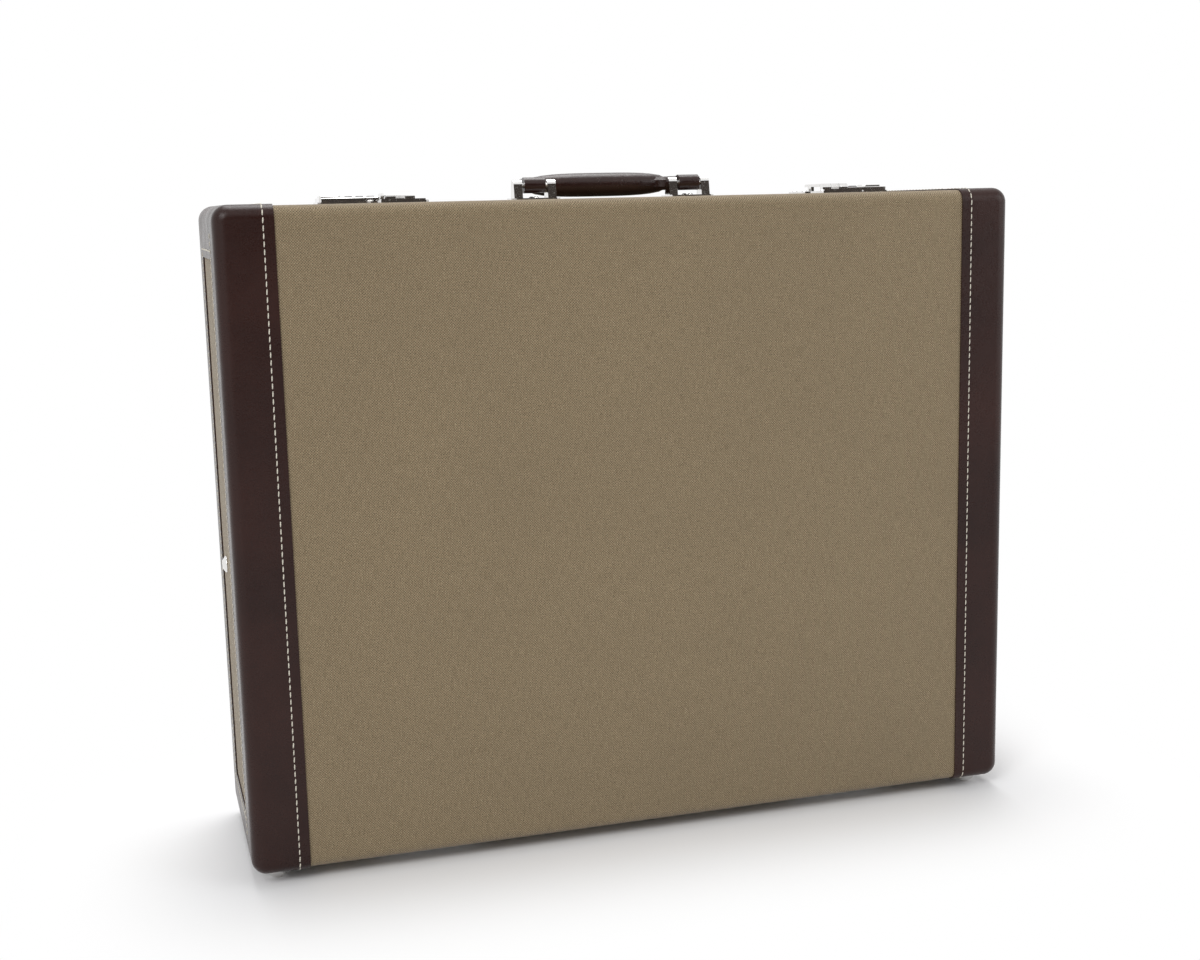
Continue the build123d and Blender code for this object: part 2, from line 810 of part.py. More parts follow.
def make_hasps():
    """Hasp plates and swinging hasps on the lid, with the eyes that the lock bolts enter."""
    pins = []
    rivets = []
    plate_top = deck + hasp_plate_thick
    third = hasp_width / 3
    for hand in (LEFT, RIGHT):
        name = names[hand]
        half = hasp_plate_width / 2
        plate_front = parting - hasp_plate_front
        plate_back = parting - hasp_plate_back
        with BuildPart() as base_plate:
            add(slab(hand, hasp_x - half, hasp_x + half, plate_front, plate_back, deck, plate_top))
            chamfer(base_plate.edges().filter_by(Axis.Z), plate_corner)
        bead = slab(
            hand,
            hasp_x - half + bead_inset,
            hasp_x + half - bead_inset,
            plate_front,
            plate_front + hasp_bead,
            deck,
            deck + hasp_bead,
        )
        pieces = [base_plate.part, bead]
        for start, end in ((-hasp_width / 2, -third / 2), (third / 2, hasp_width / 2)):
            x_in = hasp_x + start
            x_out = hasp_x + end
            web_front = hasp_y - hasp_knuckle_radius
            pieces.append(slab(hand, x_in, x_out, web_front, hasp_y, plate_top, hasp_z))
            pieces.append(rod(hand, x_in, x_out, hasp_y, hasp_z, hasp_knuckle_radius))
        pin = rod(hand, hasp_x - hasp_width / 2, hasp_x + hasp_width / 2, hasp_y, hasp_z, hasp_pin_radius)
        bores = rivet_bores(hand, hasp_rivets_at, hasp_x, hasp_rivet_top)
        save(carved(joined(*pieces), pin, *bores), "hasp_plate_" + name)
        pins.append(pin)

        flap_low = hasp_z + hasp_lift
        flap_high = flap_low + hasp_thick
        flap_front = hasp_y + hasp_knuckle_radius + slide_play
        flap_back = lock_y + hasp_overlap
        with BuildPart() as flap:
            add(
                slab(
                    hand,
                    hasp_x - hasp_width / 2,
                    hasp_x + hasp_width / 2,
                    flap_front,
                    flap_back,
                    flap_low,
                    flap_high,
                )
            )
            rear_corners = flap.edges().filter_by(Axis.Z).sort_by(Axis.Y)[-2:]
            fillet(rear_corners, hasp_corner)
            chamfer(flap.faces().sort_by(Axis.Z)[-1].edges(), hasp_bevel)
        middle_half = third / 2 - hinge_play
        tab = slab(
            hand,
            hasp_x - middle_half,
            hasp_x + middle_half,
            hasp_y,
            flap_front + overcut,
            flap_low,
            flap_high - hasp_bevel,
        )
        knuckle = rod(hand, hasp_x - middle_half, hasp_x + middle_half, hasp_y, hasp_z, hasp_knuckle_radius)
        lip = slab(
            hand,
            hasp_x - hasp_width / 4,
            hasp_x + hasp_width / 4,
            flap_back - hasp_bevel,
            flap_back + hasp_tab,
            flap_low,
            flap_low + hasp_thick / 2,
        )
        cheeks = []
        eyes = []
        cheek_front = lock_y + cheek_setback
        eye_low = deck + lock_plate_thick + bolt_lift - eye_play
        for start in (-hasp_width / 2, hasp_width / 2 - cheek_thick):
            cheeks.append(
                slab(
                    hand,
                    hasp_x + start,
                    hasp_x + start + cheek_thick,
                    cheek_front,
                    cheek_front + cheek_length,
                    deck + cheek_lift,
                    flap_low + hasp_bevel,
                )
            )
            eyes.append(
                slab(
                    hand,
                    hasp_x + start - overcut,
                    hasp_x + start + cheek_thick + overcut,
                    bolt_y - bolt_width / 2 - eye_play,
                    bolt_y + bolt_width / 2 + eye_play,
                    eye_low,
                    eye_low + bolt_thick + 2 * eye_play,
                )
            )
        loose = rod(
            hand, hasp_x - hasp_width, hasp_x + hasp_width, hasp_y, hasp_z, hasp_pin_radius + pivot_play
        )
        save(carved(joined(flap.part, tab, knuckle, lip, *cheeks), loose, *eyes), "hasp_" + name)
        for offset_x, y in hasp_rivets_at:
            rivets.append(rivet(hand * (hasp_x + offset_x), y, hasp_rivet_top))
    save(Compound(pins), "hasp_pins")
    save(Compound(rivets), "hasp_rivets")


def make_handle():
    """Two brackets on the base's top, a pin in each, and the hinged leather handle folded back."""
    pins = []
    rivets = []
    ends = []
    half_gap = post_gap / 2
    plate_top = deck + bracket_thick
    grip_y = handle_y + handle_reach
    bend_x = handle_x - handle_bend
    for hand in (LEFT, RIGHT):
        name = names[hand]
        with BuildPart() as plate:
            add(
                slab(
                    hand,
                    handle_x - bracket_half,
                    handle_x + bracket_half,
                    handle_y - bracket_depth / 2,
                    handle_y + bracket_depth / 2,
                    deck,
                    plate_top,
                )
            )
            chamfer(plate.edges().filter_by(Axis.Z), bracket_corner)
        pieces = [plate.part]
        for start in (-half_gap - post_width, half_gap):
            x_low = min(hand * (handle_x + start), hand * (handle_x + start + post_width))
            with BuildPart() as post:
                with BuildSketch(Plane.YZ.offset(x_low)):
                    with Locations((handle_y, handle_z)):
                        Circle(post_radius)
                    with BuildLine():
                        Polyline(
                            (handle_y - post_foot / 2, plate_top),
                            (handle_y - post_radius, handle_z),
                            (handle_y + post_radius, handle_z),
                            (handle_y + post_foot / 2, plate_top),
                            close=True,
                        )
                    make_face()
                extrude(amount=post_width)
            pieces.append(post.part)
        pin_in = handle_x - half_gap - post_width
        pin_out = handle_x + half_gap + post_width
        pin = rod(hand, pin_in, pin_out, handle_y, handle_z, handle_pin_radius)
        bores = rivet_bores(hand, bracket_rivets_at, handle_x, bracket_rivet_top)
        save(carved(joined(*pieces), pin, *bores), "handle_bracket_" + name)
        pins.append(pin)

        with BuildPart() as hub:
            with BuildSketch(Plane.YZ.offset(hand * handle_x - end_width / 2)):
                with Locations((handle_y, handle_z)):
                    Circle(end_radius)
            extrude(amount=end_width)
        with BuildPart() as neck:
            with BuildLine() as route:
                straight = Line((hand * handle_x, handle_y, handle_z), (hand * handle_x, grip_y - handle_bend, handle_z))
                TangentArc(straight @ 1, (hand * bend_x, grip_y, handle_z), tangent=straight % 1)
            with BuildSketch(Plane(origin=(hand * handle_x, handle_y, handle_z), x_dir=(1, 0, 0), z_dir=(0, 1, 0))):
                Rectangle(end_width - 2 * neck_step, 2 * (end_radius - neck_step))
                chamfer(vertices(), neck_bevel)
            sweep(path=route.line)
        loose = rod(hand, 0, handle_x * 2, handle_y, handle_z, handle_pin_radius + end_play)
        ends.append(carved(joined(neck.part, hub.part), loose))
        for offset_x, y in bracket_rivets_at:
            rivets.append(rivet(hand * (handle_x + offset_x), y, bracket_rivet_top))
    with BuildPart() as grip:
        with BuildSketch(Plane(origin=(0, grip_y, handle_z), x_dir=(1, 0, 0), z_dir=(0, -1, 0))):
            with BuildLine():
                Polyline(
                    (-bend_x, 0),
                    (-bend_x, grip_end_radius - grip_nose),
                    (-bend_x + grip_nose, grip_end_radius),
                    (-grip_full_half, grip_radius),
                    (grip_full_half, grip_radius),
                    (bend_x - grip_nose, grip_end_radius),
                    (bend_x, grip_end_radius - grip_nose),
                    (bend_x, 0),
                    close=True,
                )
            make_face()
        revolve(axis=Axis((0, grip_y, handle_z), (1, 0, 0)))
    core = rod(RIGHT, -bend_x, bend_x, grip_y, handle_z, core_radius)
    save(carved(grip.part, core), "handle_grip")
    save(core, "handle_core")
    save(Compound(ends), "handle_ends")
    save(Compound(pins), "handle_pins")
    save(Compound(rivets), "bracket_rivets")


os.makedirs("parts", exist_ok=True)
make_shells()
make_covering()
make_frames()
make_linings()
make_foam()
make_feet()
make_hinges()
make_stays()
make_locks()
make_hasps()
make_handle()
print("hinge axis", hinge_line, "base pivot", base_pivot, "lid pivot", lid_pivot, "knee", knee)
print("handle axis", (handle_y, handle_z), "hasp axis", (hasp_y, hasp_z), "dial axis", (dial_y, dial_z))
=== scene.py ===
import json
import math
import random

import bmesh
import bpy
from mathutils import Matrix, Vector


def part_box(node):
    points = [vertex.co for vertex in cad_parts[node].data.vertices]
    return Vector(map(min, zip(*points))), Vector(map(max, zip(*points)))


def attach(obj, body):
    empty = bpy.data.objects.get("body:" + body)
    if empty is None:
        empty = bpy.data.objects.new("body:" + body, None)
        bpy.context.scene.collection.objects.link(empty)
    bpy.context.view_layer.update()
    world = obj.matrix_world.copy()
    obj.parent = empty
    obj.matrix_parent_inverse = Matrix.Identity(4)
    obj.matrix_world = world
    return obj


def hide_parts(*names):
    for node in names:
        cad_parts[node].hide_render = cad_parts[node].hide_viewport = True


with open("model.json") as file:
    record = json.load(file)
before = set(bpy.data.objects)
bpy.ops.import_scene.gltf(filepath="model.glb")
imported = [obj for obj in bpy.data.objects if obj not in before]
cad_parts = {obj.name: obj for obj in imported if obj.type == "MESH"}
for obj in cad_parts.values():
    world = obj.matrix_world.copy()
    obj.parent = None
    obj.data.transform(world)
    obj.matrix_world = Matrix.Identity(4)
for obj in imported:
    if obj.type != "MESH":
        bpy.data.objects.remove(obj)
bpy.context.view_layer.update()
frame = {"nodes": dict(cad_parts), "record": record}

nodes = frame["nodes"]
scene = bpy.context.scene
scene.view_settings.view_transform = "Standard"

# Sizes shared with the case, in metres, read from the frame
MM = 0.001
lid_low, lid_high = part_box("lid_leather_right")
base_low, base_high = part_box("base_leather_right")
band_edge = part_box("lid_tweed")[1][0]
end_x = base_high[0]
face_y = lid_low[1]
rear_y = base_high[1]
lid_rim = lid_high[1]
base_rim = base_low[1]
top_z = lid_high[2]
bottom_z = lid_low[2]
leather = 1.5 * MM
edge_round = 6.0 * MM + leather
corner_tab = 27.0 * MM + leather
rear_wrap = 30.0 * MM + leather


class Graph:
    """A material's node tree, with short calls for the shader nodes used here."""

    def __init__(self, name):
        self.mat = bpy.data.materials.new(name)
        self.mat.use_nodes = True
        self.tree = self.mat.node_tree
        self.bsdf = self.tree.nodes["Principled BSDF"]
        self.coords = self.node("ShaderNodeTexCoord")

    def node(self, kind, **props):
        n = self.tree.nodes.new(kind)
        for key, value in props.items():
            setattr(n, key, value)
        return n

    def put(self, socket, value):
        if isinstance(value, bpy.types.NodeSocket):
            self.tree.links.new(value, socket)
        else:
            socket.default_value = value

    def math(self, operation, a, b=0.0, clamp=False):
        n = self.node("ShaderNodeMath", operation=operation, use_clamp=clamp)
        self.put(n.inputs[0], a)
        self.put(n.inputs[1], b)
        return n.outputs[0]

    def split(self, vector):
        n = self.node("ShaderNodeSeparateXYZ")
        self.put(n.inputs[0], vector)
        return n.outputs

    def join(self, x, y, z=0.0):
        n = self.node("ShaderNodeCombineXYZ")
        for socket, value in zip(n.inputs, (x, y, z)):
            self.put(socket, value)
        return n.outputs[0]

    def stretched(self, x, y, z, scales):
        """Coordinates multiplied by their own scales; those without a scale stay as they are."""
        parts = [x, y, z]
        for place, scale in enumerate(scales):
            parts[place] = self.math("MULTIPLY", parts[place], scale)
        return self.join(*parts)

    def noise(self, vector, scale, detail=4.0, rough=0.6):
        n = self.node("ShaderNodeTexNoise")
        self.put(n.inputs["Vector"], vector)
        self.put(n.inputs["Scale"], scale)
        self.put(n.inputs["Detail"], detail)
        self.put(n.inputs["Roughness"], rough)
        return n.outputs[0]

    def cells(self, vector, scale, feature="DISTANCE_TO_EDGE"):
        n = self.node("ShaderNodeTexVoronoi", feature=feature)
        self.put(n.inputs["Vector"], vector)
        self.put(n.inputs["Scale"], scale)
        return n.outputs[0]

    def span(self, value, low, high, to_low=0.0, to_high=1.0):
        n = self.node("ShaderNodeMapRange")
        for socket, item in zip(n.inputs, (value, low, high, to_low, to_high)):
            self.put(socket, item)
        return n.outputs[0]

    def mix(self, factor, a, b):
        n = self.node("ShaderNodeMix", data_type="RGBA")
        self.put(n.inputs[0], factor)
        self.put(n.inputs[6], a)
        self.put(n.inputs[7], b)
        return n.outputs[2]

    def bump(self, height, distance, strength=1.0, under=None):
        n = self.node("ShaderNodeBump")
        self.put(n.inputs["Strength"], strength)
        self.put(n.inputs["Distance"], distance)
        self.put(n.inputs["Height"], height)
        if under is not None:
            self.put(n.inputs["Normal"], under)
        return n.outputs[0]

    def finish(self, color=None, rough=None, normal=None, **uniform):
        if color is not None:
            self.put(self.bsdf.inputs["Base Color"], color)
        if rough is not None:
            self.put(self.bsdf.inputs["Roughness"], rough)
        if normal is not None:
            self.put(self.bsdf.inputs["Normal"], normal)
        for key, value in uniform.items():
            self.bsdf.inputs[key.replace("_", " ")].default_value = value
        return self.mat


def rgb(red, green, blue):
    """A linear colour as the shader sockets take it."""
    return (red, green, blue, 1.0)


def cloth_plane(g):
    """Coordinates that lie in the plane of whichever face they are on."""
    # Past 45 degrees from an axis a face belongs to that axis
    steep = 0.7071
    x, y, z = g.split(g.coords.outputs["Object"])
    nx, ny, nz = g.split(g.coords.outputs["Normal"])
    on_end = g.math("GREATER_THAN", g.math("ABSOLUTE", nx), steep)
    on_top = g.math("GREATER_THAN", g.math("ABSOLUTE", nz), steep)
    u = g.math("ADD", g.math("MULTIPLY", x, g.math("SUBTRACT", 1.0, on_end)), g.math("MULTIPLY", y, on_end))
    v = g.math("ADD", g.math("MULTIPLY", z, g.math("SUBTRACT", 1.0, on_top)), g.math("MULTIPLY", y, on_top))
    return u, v


def tweed_material():
    """Fine khaki cloth: tan warp over olive weft, with slubs and faint bars."""
    g = Graph("tweed")
    u, v = cloth_plane(g)
    thread = 0.72 * MM
    wander = 1.6 * MM
    waves = g.noise(g.coords.outputs["Object"], 60.0, 2.0)
    drift = g.math("MULTIPLY", g.math("SUBTRACT", waves, 0.5), wander)
    u = g.math("ADD", u, drift)
    v = g.math("ADD", v, g.math("MULTIPLY", drift, -0.7))
    across = g.math("SINE", g.math("MULTIPLY", u, math.pi / thread))
    along = g.math("SINE", g.math("MULTIPLY", v, math.pi / thread))
    over = g.span(g.math("MULTIPLY", across, along), -0.35, 0.35)
    slub_v = g.noise(g.stretched(u, v, 0.0, (2200.0, 130.0)), 1.0, 3.0)
    slub_u = g.noise(g.stretched(u, v, 7.0, (110.0, 2000.0)), 1.0, 3.0)
    fleck = g.noise(g.stretched(u, v, 3.0, (1400.0, 1400.0)), 1.0, 1.0)
    cloud = g.noise(g.coords.outputs["Object"], 9.0, 3.0)
    warp = g.mix(g.span(slub_v, 0.3, 0.7), rgb(0.225, 0.165, 0.088), rgb(0.37, 0.288, 0.172))
    weft = g.mix(g.span(slub_u, 0.3, 0.7), rgb(0.072, 0.05, 0.025), rgb(0.15, 0.109, 0.06))
    color = g.mix(over, weft, warp)
    color = g.mix(g.span(fleck, 0.58, 0.72, 0.0, 0.6), color, rgb(0.04, 0.028, 0.016))
    color = g.mix(g.span(fleck, 0.42, 0.28, 0.0, 0.45), color, rgb(0.47, 0.38, 0.25))
    color = g.mix(g.span(cloud, 0.35, 0.7, 0.0, 0.14), color, rgb(0.12, 0.088, 0.05))
    slub_lift = 0.9
    height = g.math("ABSOLUTE", g.math("MULTIPLY", across, along))
    height = g.math("ADD", height, g.math("MULTIPLY", slub_v, slub_lift))
    height = g.math("ADD", height, g.math("MULTIPLY", slub_u, slub_lift))
    rough = g.span(fleck, 0.3, 0.7, 0.78, 0.93)
    return g.finish(color, rough, g.bump(height, 0.12 * MM, 0.8), Sheen_Weight=0.18, Sheen_Roughness=0.5)


def leather_material(name, dark, light, gloss, shine):
    """Waxed leather: fine pebble grain with painted shade in its valleys, long creases, rubbed patches."""
    g = Graph(name)
    where = g.coords.outputs["Object"]
    grain = g.cells(where, 1100.0)
    pores = g.noise(where, 900.0, 3.0)
    crease = g.noise(where, 45.0, 6.0, 0.7)
    patch = g.noise(where, 14.0, 4.0)
    color = g.mix(g.span(patch, 0.35, 0.7), dark, light)
    # Painted shade: the grain's valleys, the low cell edges of the bump, are darkened toward near-black
    color = g.mix(g.span(grain, 0.0, 0.12, 0.35, 0.0), color, rgb(0.006, 0.004, 0.004))
    height = g.math("ADD", g.span(grain, 0.0, 0.25), g.math("MULTIPLY", pores, 0.6))
    fine = g.bump(height, 0.06 * MM, 0.55)
    soft = g.bump(crease, 0.9 * MM, 0.30, fine)
    worn = g.span(crease, 0.35, 0.7, gloss, gloss + 0.12)
    rough = g.math("ADD", worn, g.span(pores, 0.3, 0.7, 0.0, 0.08))
    return g.finish(color, rough, soft, Specular_IOR_Level=shine)


def metal_material(name, tint, rough_low, rough_high, brushed=0.0):
    """Plated or brushed metal with handling marks."""
    g = Graph(name)
    where = g.coords.outputs["Object"]
    x, y, z = g.split(where)
    smudge = g.noise(where, 160.0, 5.0, 0.65)
    lines = g.noise(g.stretched(x, y, z, (60.0, 3500.0, 3500.0)), 1.0, 2.0)
    scratch = g.noise(g.stretched(x, y, z, (2600.0, 90.0, 700.0)), 1.0, 1.0)
    dulled = rgb(tint[0] * 0.72, tint[1] * 0.7, tint[2] * 0.67)
    color = g.mix(g.span(smudge, 0.4, 0.75, 0.0, 0.35), tint, dulled)
    handled = g.span(smudge, 0.35, 0.75, rough_low, rough_high)
    rough = g.math("ADD", handled, g.span(scratch, 0.66, 0.72, 0.0, 0.18))
    height = g.math("ADD", g.math("MULTIPLY", lines, brushed), g.math("MULTIPLY", smudge, 0.015))
    return g.finish(color, rough, g.bump(height, 0.03 * MM, 0.3), Metallic=1.0)


def wood_material():
    """Bare plywood with long figure."""
    g = Graph("plywood")
    x, y, z = g.split(g.coords.outputs["Object"])
    figure = g.noise(g.stretched(x, y, z, (8.0, 160.0, 160.0)), 1.0, 5.0)
    pore = g.noise(g.stretched(x, y, z, (60.0, 2500.0, 2500.0)), 1.0, 2.0)
    color = g.mix(g.span(figure, 0.3, 0.7), rgb(0.36, 0.24, 0.13), rgb(0.55, 0.41, 0.25))
    color = g.mix(g.span(pore, 0.6, 0.75, 0.0, 0.5), color, rgb(0.22, 0.14, 0.075))
    return g.finish(color, g.span(figure, 0.3, 0.7, 0.5, 0.7), g.bump(pore, 0.1 * MM, 0.4))


def foam_material():
    """Charcoal open-cell foam, with painted shade in its pores."""
    g = Graph("foam")
    where = g.coords.outputs["Object"]
    cell = g.cells(where, 900.0, "F1")
    patch = g.noise(where, 30.0, 4.0)
    # Painted shade: the pore pits of the bump are darker than the cell walls between them
    color = g.mix(g.span(cell, 0.1, 0.6), rgb(0.012, 0.012, 0.014), rgb(0.045, 0.045, 0.05))
    color = g.mix(g.span(patch, 0.4, 0.7, 0.0, 0.25), color, rgb(0.065, 0.064, 0.066))
    return g.finish(color, g.span(cell, 0.0, 0.7, 0.98, 0.86), g.bump(cell, 0.35 * MM, 0.9), Sheen_Weight=0.1)


def flock_material():
    """Short black flock on the lining."""
    g = Graph("flock")
    where = g.coords.outputs["Object"]
    pile = g.noise(where, 2600.0, 2.0)
    nap = g.noise(where, 26.0, 5.0)
    color = g.mix(g.span(nap, 0.35, 0.7), rgb(0.014, 0.013, 0.015), rgb(0.035, 0.033, 0.037))
    color = g.mix(g.span(pile, 0.55, 0.8, 0.0, 0.4), color, rgb(0.07, 0.067, 0.072))
    return g.finish(color, g.span(pile, 0.3, 0.7, 0.85, 0.98), g.bump(pile, 0.15 * MM, 0.7), Sheen_Weight=0.4)


def thread_material():
    """Off-white waxed thread with a twist."""
    g = Graph("thread")
    x, y, z = g.split(g.coords.outputs["Object"])
    # Radians of twist for each metre along x, and along y and z
    per_x, per_yz = 4200.0, 5200.0
    run = g.math("ADD", g.math("MULTIPLY", z, per_yz), g.math("MULTIPLY", x, per_x))
    run = g.math("ADD", run, g.math("MULTIPLY", y, per_yz))
    twist = g.math("SINE", run)
    fuzz = g.noise(g.coords.outputs["Object"], 1500.0, 3.0)
    color = g.mix(g.span(twist, -1.0, 1.0, 0.0, 0.5), rgb(0.66, 0.62, 0.53), rgb(0.4, 0.36, 0.29))
    color = g.mix(g.span(fuzz, 0.5, 0.75, 0.0, 0.4), color, rgb(0.78, 0.75, 0.68))
    return g.finish(color, g.span(fuzz, 0.3, 0.7, 0.6, 0.85), g.bump(twist, 0.08 * MM, 0.6))


def enamel_material(name, base, chip):
    """Paint with fine orange peel and rubbed spots."""
    g = Graph(name)
    where = g.coords.outputs["Object"]
    peel = g.noise(where, 1200.0, 2.0)
    rub = g.noise(where, 420.0, 5.0)
    color = g.mix(g.span(rub, 0.62, 0.72, 0.0, 0.5), base, chip)
    return g.finish(color, g.span(rub, 0.3, 0.7, 0.28, 0.45), g.bump(peel, 0.03 * MM, 0.4))


tweed = tweed_material()
case_brown = rgb(0.019, 0.0062, 0.0046)
case_rubbed = rgb(0.034, 0.0115, 0.0085)
case_leather = leather_material("case_leather", case_brown, case_rubbed, 0.2, 0.24)
handle_brown = rgb(0.016, 0.005, 0.0036)
handle_rubbed = rgb(0.032, 0.0105, 0.0072)
handle_leather = leather_material("handle_leather", handle_brown, handle_rubbed, 0.12, 0.42)
chrome = metal_material("chrome", rgb(0.82, 0.81, 0.8), 0.05, 0.12)
nickel = metal_material("nickel_steel", rgb(0.62, 0.61, 0.59), 0.22, 0.38, 0.5)
aluminium = metal_material("rim_aluminium", rgb(0.74, 0.74, 0.75), 0.3, 0.42, 1.0)
plywood = wood_material()
foam = foam_material()
flock = flock_material()
thread = thread_material()
dial_black = enamel_material("dial_black", rgb(0.018, 0.016, 0.016), rgb(0.12, 0.11, 0.105))
digit_white = enamel_material("digit_white", rgb(0.75, 0.74, 0.7), rgb(0.4, 0.39, 0.37))
mark_red = enamel_material("mark_red", rgb(0.42, 0.02, 0.015), rgb(0.16, 0.01, 0.01))

slot_looks = {
    "tweed": tweed,
    "case_leather": case_leather,
    "handle_leather": handle_leather,
    "plywood": plywood,
    "rim_aluminium": aluminium,
    "lining_cloth": flock,
    "foam": foam,
    "chrome_steel": chrome,
    "dial_metal": dial_black,
    "steel": nickel,
}
# Every node of the frame gets the look of its slot
for row in frame["record"]["subparts"]:
    node = nodes[row["node"]]
    look = slot_looks[row["material_slot"]]
    if not node.material_slots:
        node.data.materials.append(look)
    for place in node.material_slots:
        place.material = look


def new_piece(name, verts, faces, look, body, smooth=True):
    """A mesh object from lists, with its material and body."""
    mesh = bpy.data.meshes.new(name)
    mesh.from_pydata([tuple(v) for v in verts], [], faces)
    mesh.validate()
    piece = bpy.data.objects.new(name, mesh)
    scene.collection.objects.link(piece)
    tidy = bmesh.new()
    tidy.from_mesh(mesh)
    bmesh.ops.recalc_face_normals(tidy, faces=tidy.faces)
    tidy.to_mesh(mesh)
    tidy.free()
    for face in mesh.polygons:
        face.use_smooth = smooth
    mesh.materials.append(look)
    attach(piece, body)
    return piece


def add_lozenge(verts, faces, centre, along, up, length, width, height):
    """One stitch: a rounded strand that dips into the leather at both ends."""
    across = along.cross(up).normalized()
    first = len(verts)
    # Place along the stitch, share of its width, and lift in shares of its height
    stations = (
        (-0.5, 0.25, -0.25),
        (-0.36, 0.8, 0.12),
        (0.0, 1.0, 0.3),
        (0.36, 0.8, 0.12),
        (0.5, 0.25, -0.25),
    )
    sides = 6
    for place, swell, lift in stations:
        for index in range(sides):
            turn = 2 * math.pi * index / sides
            verts.append(
                centre
                + along * (place * length)
                + across * (math.cos(turn) * swell * width / 2)
                + up * ((math.sin(turn) * swell * 0.5 + lift) * height)
            )
    rows = len(stations)
    for row in range(rows - 1):
        for index in range(sides):
            a = first + row * sides + index
            b = first + row * sides + (index + 1) % sides
            faces.append((a, b, b + sides, a + sides))
    faces.append(tuple(first + index for index in range(sides)))
    faces.append(tuple(first + (rows - 1) * sides + index for index in reversed(range(sides))))


stitch_pitch = 4.1 * MM
stitch_length = 3.3 * MM
stitch_width = 0.75 * MM
stitch_height = 0.55 * MM
stitch_inset = 5.8 * MM
window_seam = 4.5 * MM
rim_seam = 3.6 * MM
lid_seam_margin = 14.0 * MM
base_seam_margin = 2.0 * MM


def sew(route, verts, faces, luck):
    """Stitches along a route of (point, outward normal) samples."""
    walked = stitch_pitch / 2
    passed = 0.0
    for (a, normal_a), (b, normal_b) in zip(route, route[1:]):
        step = (b - a).length
        while step > 0 and walked <= passed + step:
            share = (walked - passed) / step
            centre = a.lerp(b, share)
            up = normal_a.lerp(normal_b, share).normalized()
            along = (b - a).normalized()
            along = (along + along.cross(up) * luck.uniform(0.03, 0.10)).normalized()
            add_lozenge(verts, faces, centre, along, up, stitch_length, stitch_width, stitch_height)
            walked += stitch_pitch
        passed += step


def hoop(x, rim, outer, radius):
    """A route over the top, down the outer face and under the bottom of one half, at width x."""
    inward = 1 if outer < rim else -1
    route = []
    margin = 1.5 * MM * inward
    steps = 6
    route.append((Vector((x, rim - margin, top_z)), Vector((0, 0, 1))))
    for index in range(steps + 1):
        turn = math.pi / 2 * index / steps
        y = outer + inward * (radius - radius * math.sin(turn))
        z = top_z - radius + radius * math.cos(turn)
        route.append((Vector((x, y, z)), Vector((0, -inward * math.sin(turn), math.cos(turn)))))
    for index in range(steps + 1):
        turn = math.pi / 2 * index / steps
        y = outer + inward * (radius - radius * math.cos(turn))
        z = bottom_z + radius - radius * math.sin(turn)
        route.append((Vector((x, y, z)), Vector((0, -inward * math.cos(turn), -math.sin(turn)))))
    route.append((Vector((x, rim - margin, bottom_z)), Vector((0, 0, -1))))
    return route


def make_stitching():
    """Seams of the leather bands, the end windows and the lid's ends."""
    luck = random.Random(4)
    for hand, name in ((-1, "left"), (1, "right")):
        lid_verts, lid_faces, base_verts, base_faces = [], [], [], []
        seam_x = hand * (band_edge + stitch_inset)
        sew(hoop(seam_x, lid_rim, face_y, edge_round), lid_verts, lid_faces, luck)
        sew(hoop(seam_x, base_rim, rear_y, edge_round), base_verts, base_faces, luck)
        out = Vector((hand, 0, 0))
        x = hand * end_x
        edge_y = lid_rim - rim_seam
        upper = Vector((x, edge_y, top_z - lid_seam_margin))
        lower = Vector((x, edge_y, bottom_z + lid_seam_margin))
        sew([(upper, out), (lower, out)], lid_verts, lid_faces, luck)
        high = top_z - corner_tab + window_seam
        low = bottom_z + corner_tab - window_seam
        wrap_y = rear_y - rear_wrap + window_seam
        start_y = base_rim + base_seam_margin
        corners = [(start_y, high), (wrap_y, high), (wrap_y, low), (start_y, low)]
        sew([(Vector((x, y, z)), out) for y, z in corners], base_verts, base_faces, luck)
        new_piece("stitches_lid_" + name, lid_verts, lid_faces, thread, "lid")
        new_piece("stitches_base_" + name, base_verts, base_faces, thread, "base")


make_stitching()


def make_grip():
    """The padded leather grip: a crowned tube with a seam, necked into its end loops."""
    low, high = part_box("handle_grip")
    centre_y = (low[1] + high[1]) / 2
    centre_z = (low[2] + high[2]) / 2
    into_ends = 8.0 * MM
    half = (high[0] - low[0]) / 2 + into_ends
    full = (high[2] - low[2]) / 2
    neck = 4.4 * MM
    wrinkle_depth = 0.10 * MM
    seam_height = 0.35 * MM
    seam_width = 0.16
    underside_share = 0.94
    end_power = 3.4
    swell_power = 0.7
    rows = 40
    sides = 28
    verts, faces = [], []
    for row in range(rows + 1):
        t = -1 + 2 * row / rows
        x = half * t
        swell = max(0.0, 1 - abs(t) ** end_power) ** swell_power
        radius = neck + (full - neck) * swell
        wrinkle = wrinkle_depth * math.sin(row * 2.3) * (abs(t) ** 4)
        for index in range(sides):
            turn = 2 * math.pi * index / sides
            flat = underside_share if math.sin(turn) < -0.4 else 1.0
            ridge = seam_height * math.exp(-((turn - 1.5 * math.pi) / seam_width) ** 2) * swell
            r = radius + wrinkle + ridge
            verts.append((x, centre_y + r * math.cos(turn), centre_z + r * flat * math.sin(turn)))
    for row in range(rows):
        for index in range(sides):
            a = row * sides + index
            b = row * sides + (index + 1) % sides
            faces.append((a, b, b + sides, a + sides))
    faces.append(tuple(range(sides)))
    faces.append(tuple(rows * sides + index for index in reversed(range(sides))))
    grip = new_piece("padded_grip", verts, faces, handle_leather, "handle")
    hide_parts("handle_grip")


make_grip()


